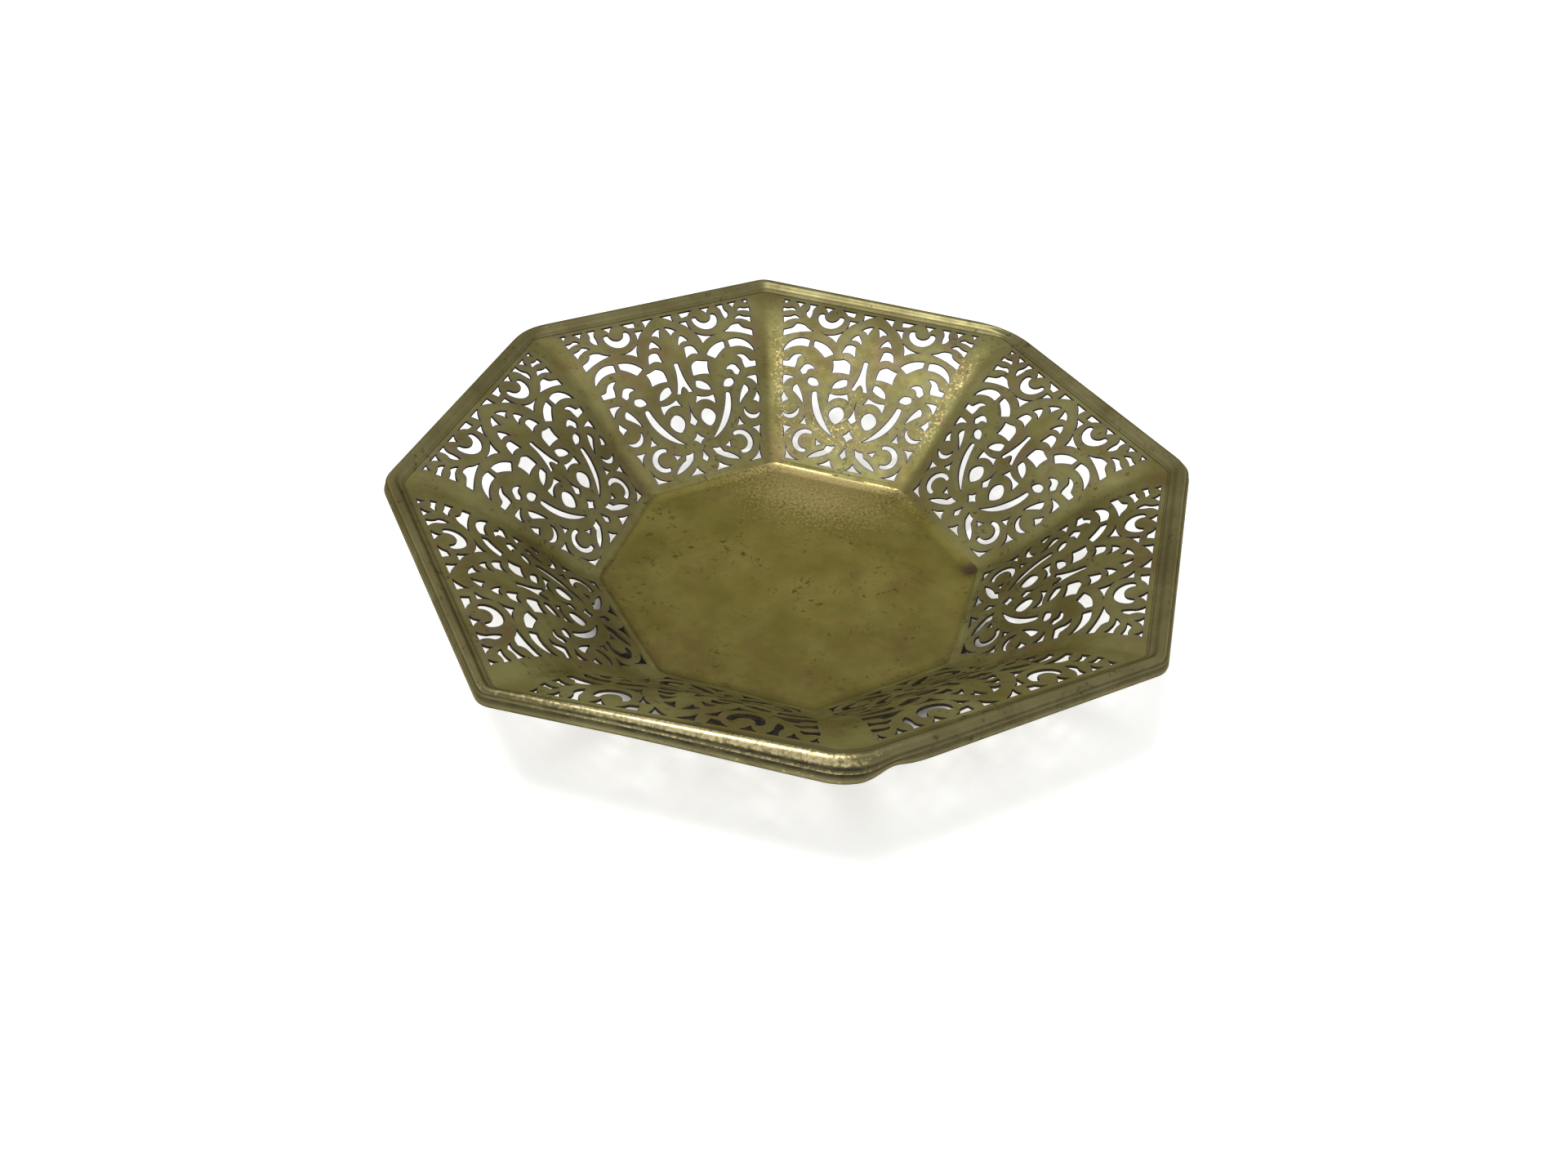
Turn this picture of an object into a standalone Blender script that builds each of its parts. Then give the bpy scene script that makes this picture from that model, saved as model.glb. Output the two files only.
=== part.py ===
"""Octagonal pierced brass dish: a coved base, eight pierced wall panels and a moulded rim.

Frame: metres, +Z up, origin at the centre of the face that the dish rests on. Corner 0 lies on +Y
and corners count clockwise from above. Panel and rail k span the side from corner k-1 to corner k.
"""
import math
from bisect import bisect_right

import bmesh
import bpy
from mathutils import Vector

NAME = "pierced_brass_dish"
MM = 0.001
UP = Vector((0, 0, 1))

# Driving dimensions
SIDES = 8
SHEET = 0.8 * MM                 # thickness of the brass sheet
GAP = 0.3 * MM                   # clearance at every soldered joint
BASE_CORNER = 63 * MM            # centre to a corner of the line where base and wall meet
RIM_CORNER = 120 * MM            # centre to a corner of the line where wall and rim meet
DEPTH = 39.4 * MM                # rise of the wall between those two lines
COVE_RADIUS = 7.5 * MM           # bend between the base and its upturned edge
COVE_ANGLE = math.radians(30)

# Handles of the cubic curve that the wall follows from foot (0, 0) to rim (1, 1)
WALL_FOOT_HANDLE = (0.40, 0.30)
WALL_RIM_HANDLE = (0.55, 0.85)
WALL_BENDS = 6                   # flat stretches that the wall's curve is divided into

# Corners of the rim that have been knocked: outward and upward
KNOCKED_CORNERS = {4: (-2.8 * MM, 2.7 * MM), 5: (3.4 * MM, -1.4 * MM)}

# Rim moulding in section, outward and upward from the line where wall and rim meet, in mm
RIM_SECTION = (
    (0.3, -0.8), (0.3, 0.75), (1.3, 1.05), (2.6, 2.3), (3.4, 2.8), (4.35, 2.8), (5.15, 2.3),
    (5.65, 1.45), (6.4, 1.0), (6.2, 0.15), (7.0, -0.8), (6.95, -1.8), (6.3, -2.6), (5.2, -2.8),
    (3.2, -1.6),
)

# The rim is uneven: how far its outside is bent up and out at each corner, in mm
RIM_RISE = (0.4, -0.5, 0, 0.3, -2.0, 0.3, 0, -0.4)
RIM_REACH_OUT = (0, -1.8, 0, -0.6, 0, -1.5, -0.8, -0.2)
RIM_BEND = (1.5 * MM, 6.5 * MM)  # where in the section that starts, and where it is whole

# Piercings of the right-hand half of a panel seen from inside, in mm across from the middle and up
# the wall, counter-clockwise. The third number of a point is how far the edge to the next point
# rises outwards, as a fraction of its length.
ARC_STEP = 2.4 * MM              # length of the straight stretches that stand for a round edge
HALF_PIERCINGS = {
    "corner_tip": ((35.0, 64.9, -0.12), (36.4, 62.7, -0.12), (37.5, 64.9, 0)),
    "corner_tooth": ((29.0, 64.9, -0.12), (30.5, 62.3, -0.12), (32.8, 64.9, 0)),
    "top_hook": ((24.0, 64.9, -0.1), (25.4, 62.2, 0.05), (25.4, 58.2, 0.15), (27.4, 60.9, -0.15),
                 (27.2, 64.9, 0)),
    "ball_tooth": ((17.3, 64.9, -0.1), (19.4, 62.3, -0.1), (21.6, 64.9, 0)),
    "top_crescent": ((12.7, 60.6, 0.56), (22.3, 60.6, 0.25), (20.4, 61.3, -0.51),
                     (14.5, 61.3, 0.25)),
    "top_bar": ((9.2, 62.4, 0), (11.8, 62.8, -0.1), (14.4, 64.9, 0), (8.9, 64.9, -0.05)),
    "arch_spandrel": ((1.2, 64.9, -0.06), (5.6, 61.5, -0.08), (5.9, 64.9, 0)),
    "arch_wedge": ((7.1, 60.4, -0.08), (10.6, 56.4, -0.06), (10.3, 60.5, 0)),
    "arch_eye": ((0.9, 59.7, -0.05), (2.3, 55.5, -0.2), (4.9, 57.1, 0.1)),
    "petal_tip": ((3.5, 51.0, -0.2), (7.7, 52.1, 0.1), (5.7, 55.1, 0.08)),
    "petal_upper": ((4.7, 45.8, -0.18), (9.8, 46.4, 0.05), (8.7, 49.8, 0.15), (5.4, 49.9, 0)),
    "petal_middle": ((5.1, 38.8, -0.06), (11.5, 38.2, -0.08), (12.3, 43.0, -0.03),
                     (8.4, 44.1, 0.1), (5.6, 42.6, 0.03)),
    "petal_lower": ((4.9, 34.6, 0.08), (10.2, 32.5, 0.12), (8.3, 35.8, 0.1), (5.3, 36.8, 0.05)),
    "wing": ((2.7, 28.8, -0.22), (10.2, 27.0, 0.05), (10.5, 30.6, -0.1), (4.0, 31.6, -0.05)),
    "oval": ((5.8, 19.6, 0.12), (9.1, 22.9, 0.18), (5.8, 26.3, 0.18), (3.3, 22.9, 0.12)),
    "brow_outer": ((22.8, 46.3, -0.13), (31.6, 42.8, 0.25), (22.8, 49.1, 0)),
    "brow_inner": ((12.8, 45.4, 0), (15.6, 43.4, -0.04), (20.8, 46.9, 0), (21.0, 49.2, 0.12)),
    "side_wing": ((22.5, 52.9, -0.05), (33.2, 48.8, 0), (33.7, 51.3, 0), (31.0, 52.7, -0.1),
                  (29.8, 54.9, 0.1), (26.0, 54.6, -0.06)),
    "inner_star": ((11.4, 55.0, -0.08), (12.9, 50.1, -0.08), (18.3, 52.4, -0.1)),
    "comb_upper": ((31.4, 60.4, -0.1), (36.1, 59.0, 0), (36.6, 61.1, -0.12), (33.4, 61.8, 0.12)),
    "comb_lower": ((28.9, 57.1, -0.1), (32.6, 56.0, -0.1), (34.3, 54.2, 0), (35.3, 56.9, -0.1),
                   (31.5, 58.5, 0.08)),
    "hook_outer": ((25.8, 37.5, 0), (30.4, 37.4, 0), (30.8, 39.4, -0.08), (28.5, 39.8, 0.05),
                   (27.2, 42.2, 0.12), (24.0, 42.9, -0.1), (25.7, 40.9, 0.05)),
    "hook_inner": ((22.2, 35.5, 0), (23.6, 37.0, 0), (22.5, 39.2, 0.15), (20.2, 39.7, 0.1),
                   (18.2, 38.4, -0.1), (20.4, 37.9, -0.1), (20.9, 36.3, 0)),
    "bean": ((15.3, 32.6, 0.05), (17.6, 32.0, 0.1), (19.8, 33.2, 0.1), (19.4, 34.9, 0.1),
             (16.7, 34.8, 0.1)),
    "rib_tooth": ((24.9, 33.9, -0.15), (28.4, 30.2, 0.05), (29.3, 34.0, 0.05)),
    "leaf": ((19.4, 24.9, -0.03), (24.4, 28.9, 0.2), (23.4, 31.6, 0.06)),
    "rib_tooth_low": ((25.1, 25.2, -0.1), (27.1, 23.6, 0), (28.1, 25.8, 0), (27.6, 28.0, -0.05)),
    "smile": ((20.7, 23.3, 0.53), (26.5, 20.4, -0.29)),
    "seed": ((16.0, 17.4, 0), (18.9, 17.3, -0.1), (17.6, 20.4, -0.1)),
    "foot_tooth": ((21.3, 15.6, -0.12), (23.5, 11.3, -0.08), (25.0, 15.7, -0.06)),
    "base_ring": ((14.2, 7.0, 0.74), (13.4, 15.2, 0.2), (13.7, 14.0, -0.68), (14.2, 8.3, 0.1)),
    "ring_tooth": ((8.7, 11.4, -0.05), (10.8, 10.2, -0.05), (11.4, 12.7, -0.08)),
    "base_blade": ((4.6, 9.3, 0.08), (12.8, 5.1, 0.08), (7.6, 9.3, 0), (6.8, 11.3, -0.1),
                   (3.7, 11.8, 0)),
    "foot_triangle": ((2.4, 3.1, 0), (8.3, 3.4, -0.1), (4.4, 6.1, -0.08)),
    "foot_corner": ((15.9, 3.4, 0), (20.8, 3.3, -0.05), (21.6, 7.8, -0.14)),
    "stem": ((5.5, 15.0, 0.15), (17.0, 29.6, 0.3), (15.3, 29.9, -0.07)),
}
CENTRE_PIERCINGS = {
    "fork": ((-3.1, 33.4, 0), (-1.5, 33.3, -0.1), (0, 35.9, -0.1), (1.5, 33.3, 0),
             (3.1, 33.4, -0.06), (0.8, 44.6, 0.1), (-0.8, 44.6, -0.06)),
    "bud": ((0, 20.9, 0), (1.6, 22.4, -0.08), (0, 27.5, -0.08), (-1.6, 22.4, 0)),
    "diamond": ((0, 13.9, -0.1), (2.3, 15.9, -0.1), (0, 18.3, -0.1), (-2.3, 15.9, -0.1)),
    "spade": ((0, 7.2, 0), (1.3, 8.6, -0.05), (0, 11.6, -0.05), (-1.3, 8.6, 0)),
}


def wall_curve(t):
    """Return how far out and how far up the wall is at t along its cubic curve, both from 0 to 1."""
    near, far, end = 3 * t * (1 - t) ** 2, 3 * t * t * (1 - t), t ** 3
    return tuple(near * a + far * b + end for a, b in zip(WALL_FOOT_HANDLE, WALL_RIM_HANDLE))


def measure_wall(samples=200):
    """Return the lengths along a panel's middle line, and the wall curve's points at them."""
    spread = (RIM_CORNER - BASE_CORNER) * math.cos(math.pi / SIDES)
    points = [wall_curve(i / samples) for i in range(samples + 1)]
    lengths = [0.0]
    for (out_a, up_a), (out_b, up_b) in zip(points, points[1:]):
        lengths.append(lengths[-1] + math.hypot((out_b - out_a) * spread, (up_b - up_a) * DEPTH))
    return lengths, points


LENGTHS, POINTS = measure_wall()
WALL_LENGTH = LENGTHS[-1]
JOINT_HEIGHT = SHEET + COVE_RADIUS * (1 - math.cos(COVE_ANGLE))


def wall_at(length):
    """Return how far out and up the wall is at a length along a panel's middle line."""
    i = min(max(bisect_right(LENGTHS, length) - 1, 0), len(LENGTHS) - 2)
    part = (length - LENGTHS[i]) / (LENGTHS[i + 1] - LENGTHS[i])
    return tuple(a + (b - a) * part for a, b in zip(POINTS[i], POINTS[i + 1]))


def outward(corner):
    """Return the level direction from the centre to a corner."""
    azimuth = 2 * math.pi * corner / SIDES
    return Vector((math.sin(azimuth), math.cos(azimuth), 0))


def corner_point(corner, out, up):
    """Return the point of a corner's fold where the wall curve is out and up."""
    knock_out, knock_up = KNOCKED_CORNERS.get(corner % SIDES, (0, 0))
    radius = BASE_CORNER + (RIM_CORNER + knock_out - BASE_CORNER) * out
    return outward(corner) * radius + UP * (JOINT_HEIGHT + (DEPTH + knock_up) * up)


def half_width(length):
    """Return half the width of a panel at a length up the wall."""
    out, _ = wall_at(length)
    return (BASE_CORNER + (RIM_CORNER - BASE_CORNER) * out) * math.sin(math.pi / SIDES)


def wall_point(corner, across, length):
    """Return the point of the inner face of the panel between a corner and the next one."""
    out, up = wall_at(length)
    share = 0.5 + across / (2 * half_width(length))
    return corner_point(corner, out, up).lerp(corner_point(corner + 1, out, up), share)


def arc(start, end, rise):
    """Return points from start up to, but without, end on an arc that rises to the right."""
    if rise == 0:
        return [start]
    chord = end - start
    turn = 4 * math.atan(2 * rise)
    right = Vector((chord.y, -chord.x)).normalized()
    centre = (start + end) / 2 - right * chord.length / (2 * math.tan(turn / 2))
    spoke = start - centre
    steps = max(1, round(spoke.length * abs(turn) / ARC_STEP))
    points = []
    for i in range(steps):
        cos, sin = math.cos(turn * i / steps), math.sin(turn * i / steps)
        points.append(centre + Vector((spoke.x * cos - spoke.y * sin, spoke.x * sin + spoke.y * cos)))
    return points


def outline(corners, mirrored=False):
    """Return the points of a piercing in metres."""
    points = []
    for (x, y, rise), (next_x, next_y, _) in zip(corners, corners[1:] + corners[:1]):
        points += arc(Vector((x, y)) * MM, Vector((next_x, next_y)) * MM, rise)
    return [Vector((-p.x, p.y)) for p in points] if mirrored else points


def sheet_mesh(name, outlines, thickness):
    """Return a mesh of flat outlines, with the inner ones as holes, and the given thickness."""
    curve = bpy.data.curves.new(name, "CURVE")
    curve.dimensions = "2D"
    curve.fill_mode = "BOTH"
    curve.extrude = thickness / 2
    for points in outlines:
        spline = curve.splines.new("POLY")
        spline.points.add(len(points) - 1)
        for target, (x, y) in zip(spline.points, points):
            target.co = (x, y, 0, 1)
        spline.use_cyclic_u = True
    guide = bpy.data.objects.new(name, curve)
    bpy.context.scene.collection.objects.link(guide)
    flat = guide.evaluated_get(bpy.context.evaluated_depsgraph_get())
    mesh = bpy.data.meshes.new_from_object(flat)
    bpy.data.objects.remove(guide)
    bpy.data.curves.remove(curve)
    return mesh


def brass(name, colour, roughness):
    """Return a metallic material."""
    material = bpy.data.materials.new(name)
    material.use_nodes = True
    shader = material.node_tree.nodes["Principled BSDF"]
    shader.inputs["Base Color"].default_value = (*colour, 1)
    shader.inputs["Metallic"].default_value = 1
    shader.inputs["Roughness"].default_value = roughness
    return material


def add_part(name, mesh, material, collection, parent):
    """Put a mesh into the dish as a named part with a copy of its material."""
    part = bpy.data.objects.new(name, mesh)
    mesh.materials.clear()
    mesh.materials.append(material.copy())
    collection.objects.link(part)
    part.parent = parent
    return part


def base_mesh():
    """Return the line from the centre of the base's upper face to the top of its coved edge."""
    mitre = math.cos(math.pi / SIDES)
    cove_start = BASE_CORNER * mitre - GAP - COVE_RADIUS * math.sin(COVE_ANGLE)
    line = [(0, SHEET)]
    for i in range(4):
        angle = COVE_ANGLE * i / 3
        across = cove_start + COVE_RADIUS * math.sin(angle)
        line.append((across / mitre, SHEET + COVE_RADIUS * (1 - math.cos(angle))))
    mesh = bpy.data.meshes.new("base_plate")
    vertices = [(x, 0, z) for x, z in line]
    mesh.from_pydata(vertices, [(i, i + 1) for i in range(len(line) - 1)], [])
    return mesh


def add_base(material, collection, parent):
    """Add the octagonal base: a line turned in eight steps and thickened downwards."""
    part = add_part("base_plate", base_mesh(), material, collection, parent)
    turned = part.modifiers.new("Turned in eight", "SCREW")
    turned.steps = turned.render_steps = SIDES
    turned.use_merge_vertices = True
    turned.merge_threshold = 0.00001
    turned.use_smooth_shade = False
    sheet = part.modifiers.new("Sheet", "SOLIDIFY")
    sheet.thickness = SHEET
    sheet.offset = -1
    sheet.use_even_offset = True


def panel_mesh(corner):
    """Return the pierced wall panel between a corner and the next one, bent to the wall's curve."""
    levels = [WALL_LENGTH * i / WALL_BENDS for i in range(WALL_BENDS + 1)]
    side = [Vector((half_width(level) - GAP / 2, level)) for level in levels]
    outlines = [side + [Vector((-p.x, p.y)) for p in reversed(side)]]
    for corners in HALF_PIERCINGS.values():
        outlines += [outline(corners), outline(corners, mirrored=True)]
    outlines += [outline(corners) for corners in CENTRE_PIERCINGS.values()]
    mesh = sheet_mesh("wall_panel", outlines, SHEET)
    bm = bmesh.new()
    bm.from_mesh(mesh)
    bmesh.ops.remove_doubles(bm, verts=bm.verts, dist=0.00001)
    for level in levels[1:-1]:
        everything = bm.verts[:] + bm.edges[:] + bm.faces[:]
        bmesh.ops.bisect_plane(bm, geom=everything, plane_co=(0, level, 0), plane_no=(0, 1, 0))
    for vertex in bm.verts:
        across, length, depth = vertex.co
        here = wall_point(corner, across, length)
        along = wall_point(corner, across + MM, length) - here
        climb = wall_point(corner, across, min(length + MM, WALL_LENGTH))
        climb -= wall_point(corner, across, min(length, WALL_LENGTH - MM))
        vertex.co = here + along.cross(climb).normalized() * (depth - SHEET / 2)
    bm.to_mesh(mesh)
    bm.free()
    return mesh


def rim_point(corner, out, up):
    """Return a point of the rim's section at a corner, out and up from the top of the wall."""
    bend = min(max((out - RIM_BEND[0]) / (RIM_BEND[1] - RIM_BEND[0]), 0), 1) * MM
    out += bend * RIM_REACH_OUT[corner % SIDES]
    up += bend * RIM_RISE[corner % SIDES]
    return corner_point(corner, 1, 1) + outward(corner) * out / math.cos(math.pi / SIDES) + UP * up


def rail_mesh(corner):
    """Return the rim moulding between a corner and the next one, mitred at both."""
    section = [Vector((x, y)) * MM for x, y in RIM_SECTION]
    mesh = sheet_mesh("rim_rail", [section], 1)
    bm = bmesh.new()
    bm.from_mesh(mesh)
    bmesh.ops.remove_doubles(bm, verts=bm.verts, dist=0.00001)
    setback = GAP / (2 * 2 * half_width(WALL_LENGTH))
    for vertex in bm.verts:
        out, up, end = vertex.co
        near, far = rim_point(corner, out, up), rim_point(corner + 1, out, up)
        vertex.co = near.lerp(far, 1 - setback if end > 0 else setback)
    bm.to_mesh(mesh)
    bm.free()
    return mesh


def build():
    """Model the whole dish in an empty scene."""
    for item in list(bpy.data.objects):
        bpy.data.objects.remove(item)
    collection = bpy.data.collections.new(NAME)
    bpy.context.scene.collection.children.link(collection)
    dish = bpy.data.objects.new(NAME, None)
    collection.objects.link(dish)
    aged = brass("aged_brass", (0.30, 0.24, 0.09), 0.42)
    rubbed = brass("rubbed_brass", (0.42, 0.34, 0.13), 0.32)
    add_base(aged, collection, dish)
    for corner in range(SIDES):
        add_part(f"wall_panel_{corner + 1}", panel_mesh(corner), aged, collection, dish)
        add_part(f"rim_rail_{corner + 1}", rail_mesh(corner), rubbed, collection, dish)


build()
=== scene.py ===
"""Looks of the octagonal pierced brass dish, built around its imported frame.

Frame: metres, +Z up, origin at the centre of the face that the dish rests on. Corner 0 lies on +Y
and corners count clockwise from above. Panel and rail k span the side from corner k-1 to corner k.
"""
import math

import bmesh
import bpy
import numpy as np
from mathutils import Matrix, Vector, noise
from mathutils.kdtree import KDTree


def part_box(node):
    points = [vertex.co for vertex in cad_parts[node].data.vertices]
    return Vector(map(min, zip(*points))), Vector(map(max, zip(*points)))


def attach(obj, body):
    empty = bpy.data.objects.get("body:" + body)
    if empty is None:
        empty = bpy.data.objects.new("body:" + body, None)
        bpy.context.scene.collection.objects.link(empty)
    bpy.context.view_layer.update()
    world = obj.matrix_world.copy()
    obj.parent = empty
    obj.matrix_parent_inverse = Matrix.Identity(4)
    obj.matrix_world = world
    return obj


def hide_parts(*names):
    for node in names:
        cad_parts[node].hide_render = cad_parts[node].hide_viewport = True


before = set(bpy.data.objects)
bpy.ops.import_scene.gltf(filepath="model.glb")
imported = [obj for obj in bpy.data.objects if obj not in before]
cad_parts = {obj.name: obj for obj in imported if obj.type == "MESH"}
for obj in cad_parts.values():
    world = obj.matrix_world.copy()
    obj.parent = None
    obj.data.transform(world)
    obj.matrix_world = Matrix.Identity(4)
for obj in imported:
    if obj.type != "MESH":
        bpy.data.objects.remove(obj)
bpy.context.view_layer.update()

# Driving dimensions, as in the CAD model
MM = 0.001
SIDES = 8
SHEET = 0.8 * MM                 # thickness of the brass sheet
BASE_CORNER = 63 * MM            # centre to a corner of the line where base and wall meet
RIM_CORNER = 120 * MM            # centre to a corner of the line where wall and rim meet
COVE_RADIUS = 7.5 * MM           # bend between the base and its upturned edge
COVE_ANGLE = math.radians(30)
JOINT_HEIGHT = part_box("base_plate")[1].z
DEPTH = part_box("wall_panel_1")[1].z - JOINT_HEIGHT
WALL_FOOT_HANDLE = (0.40, 0.30)
WALL_RIM_HANDLE = (0.55, 0.85)
MITRE = math.cos(math.pi / SIDES)        # distance to the middle of a side, by that to its corner
HALF_SIDE = math.sin(math.pi / SIDES)    # half a side, by the distance to its corner

# Corners of the rim that have been knocked: outward and upward
KNOCKED_CORNERS = {4: (-2.8 * MM, 2.7 * MM), 5: (3.4 * MM, -1.4 * MM)}

# Fine dimensions of the visible surface
CORNER_REACH = 2.0 * MM          # how far from a corner its rounding starts
RIM_REACH = (3, 14, 5, 3, 8, 3, 5, 8)    # the same at each corner of the rim's outside, in mm
RIM_REACH_WHOLE = 5.0 * MM       # how far out from the wall that applies in full
RIM_RISE = (0.4, -0.5, 0, 0.3, -1.2, 0.3, 0, -0.4)     # rise of the rim's outside there, in mm
RIM_REACH_OUT = (0, -0.6, 0, -0.6, 0, -1.5, -0.8, -0.2)  # how far it goes out there, in mm
RIM_BEND = (1.5 * MM, 5.0 * MM)  # where in the section those two start, and how much further they build up
FRONT_CORNER = 4                 # here the rim's outer edge has been knocked downwards
FRONT_REACH = 5.0 * MM           # how far from it the rounding starts at the top of the wall
KNOCK_DROP = 1.6 * MM            # how much further the rim's outer edge has sunk there
KNOCK_REACH = (12 * MM, 60 * MM)     # how far that goes before the corner and behind it
DENT = (10 * MM, 5 * MM, 0.8 * MM)   # dent before that: how far from the corner, half length, depth
BASE_LAP = 0.4 * MM              # how far the base reaches under the foot of the wall
RIPPLE = 0.05 * MM               # unevenness of the pierced panels
STEP_DOWN = 0.12 * MM            # how far the base's edge lies under the foot of the wall
STEP_REACH = 2.0 * MM            # how far in from its edge the base comes down by that
BASE_WAVE = (0.12 * MM, 17 * MM)     # height and spread of the base's unevenness
COVE_SPAN = 5.0 * MM             # how far in from its edge the base is divided closely
MIDDLE_GAP = 1.0 * MM            # how far from the centre its innermost ring lies
CUT_EDGE = 0.16 * MM             # rounded edge of a piercing
CUT_CORNER = 0.30 * MM           # rounded corner of a piercing
ARC_STEP = 0.7 * MM              # length of the straight stretches that stand for a round edge
LEVEL_STEP = 2.0 * MM            # height of the bands that a panel is bent in
ACROSS_STEP = 2.5 * MM           # width of the strips that a panel is divided into
ACROSS_CUTS = 15                 # dividing lines on either side of its middle
FOLD_CUTS = (0.4, 0.8, 1.2, 1.6, 2.0, 3.0, 4.5, 6.0)   # bands beside a fold, in mm from it
GRIME_REACH = 1.5 * MM           # how far from a piercing its grime reaches
LEAST_GRIME = 0.15               # grime of a panel further away than that
RIM_GROOVES = ((6.2, 0.2), (5.65, 1.45))     # grooves of the rim in its section, in mm
GROOVE_REACH = 0.8               # how far from a groove its grime reaches, in mm
SMOOTH_LIMIT = math.radians(50)  # steeper edges of the rim and the base stay sharp

# Where the patina is worn, and on the base also where a reflection is painted: centre in mm, how far that
# goes along the side and across it, in mm, the azimuth in which the side looks, and how much of the patina
# is gone
WORN_WALL = (
    ((32, 80, 20), (28, 26), 22.5, 0.24),
    ((23, 68, 10), (14, 10), 22.5, 0.26),
    ((72, 76, 30), (5, 16), 45, 0.42),
    ((58, 62, 14), (4, 14), 45, 0.40),
    ((4, 92, 20), (3.5, 30), 0, 0.42),
)
WORN_BASE_AND_SHEEN = (
    ((22, 53.5, 1.6), (26, 4), 22.5, 0.30),
    # Painted reflection: this broad golden haze stands for the lamp's sheen on the back of the base, not
    # wear
    ((14, 50, 1), (40, 28), 22.5, 0.88),
)
WORN_RIM = (
    ((44, 107, 45), (50, 7), 22.5, 0.20),
    ((-38, -110, 44), (46, 7), 202.5, 0.90),
    ((-7, -124, 42), (14, 8), 180, 0.45),
)
PANEL_GRIME = (1, 0.9, 0.7, 0.4, 0.4, 0.7, 1, 1)     # grime beside the piercings of each panel
JOINT_GRIME = (0.1, 0.15, 0.1, 0.05, 0.05, 0.3, 0.5, 0.5)     # along each side of the base
# Grime beside corners of the base, and in the broad spots at corners 3 to 6 painted shade over the front of
# the base: corner, radius in mm, strength
BASE_SMUDGES_AND_SHADE = (
    (0, 2.4, 0.9), (1, 2.4, 0.9), (2, 3.4, 1.3), (3, 2.0, 0.5),
    (3, 24, 0.33), (4, 34, 0.36), (5, 30, 0.36), (6, 24, 0.33),
)
# Marks on the base: place, radius in mm, colour, strength
BASE_MARKS = (
    ((-6.5, -0.5), 0.9, (0.030, 0.022, 0.012), 0.9),
    ((-4.0, 6.9), 0.9, (0.42, 0.22, 0.05), 0.7),
    ((16.0, -20.5), 3.6, (0.30, 0.15, 0.05), 0.35),
)

# Painted contact shadow: the floor is painted dark close around the dish's foot, in an oval there, by its
# centre and 1 / half its axes
SHADE_PLACE = (-0.003, -0.020, 0)
SHADE_SCALE = (1 / 0.064, 1 / 0.058, 0)

SLANT_TINT = (0.60, 0.57, 0.46, 1)     # tint of the brass where it is seen at a slant

# Camera and light
CAMERA_PLACE = (-0.0499, -0.3219, 0.2747)
CAMERA_AIM = (-0.0032, -0.0074, 0.0018)
CAMERA_ROLL = math.radians(4.11)
CAMERA_LENS = 29.4

# Rim moulding in section, outward and upward from the line where wall and rim meet, in mm,
# counter-clockwise. A third number says how far the edge to the next point rises outwards, as a
# fraction of its length.
RIM_SECTION = (
    (0.1, -0.75, 0), (3.2, -1.6, -0.08), (5.2, -2.8, 0.42), (6.3, 0.05, 0), (6.15, 0.3, 0.45),
    (5.75, 1.4, 0), (5.6, 1.5, 0.3), (2.6, 2.3, -0.05), (1.3, 1.05, 0.1), (0.75, 0.85, -0.2),
    (0.55, 0.5, 0.1), (0.02, 0.25, 0),
)

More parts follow.
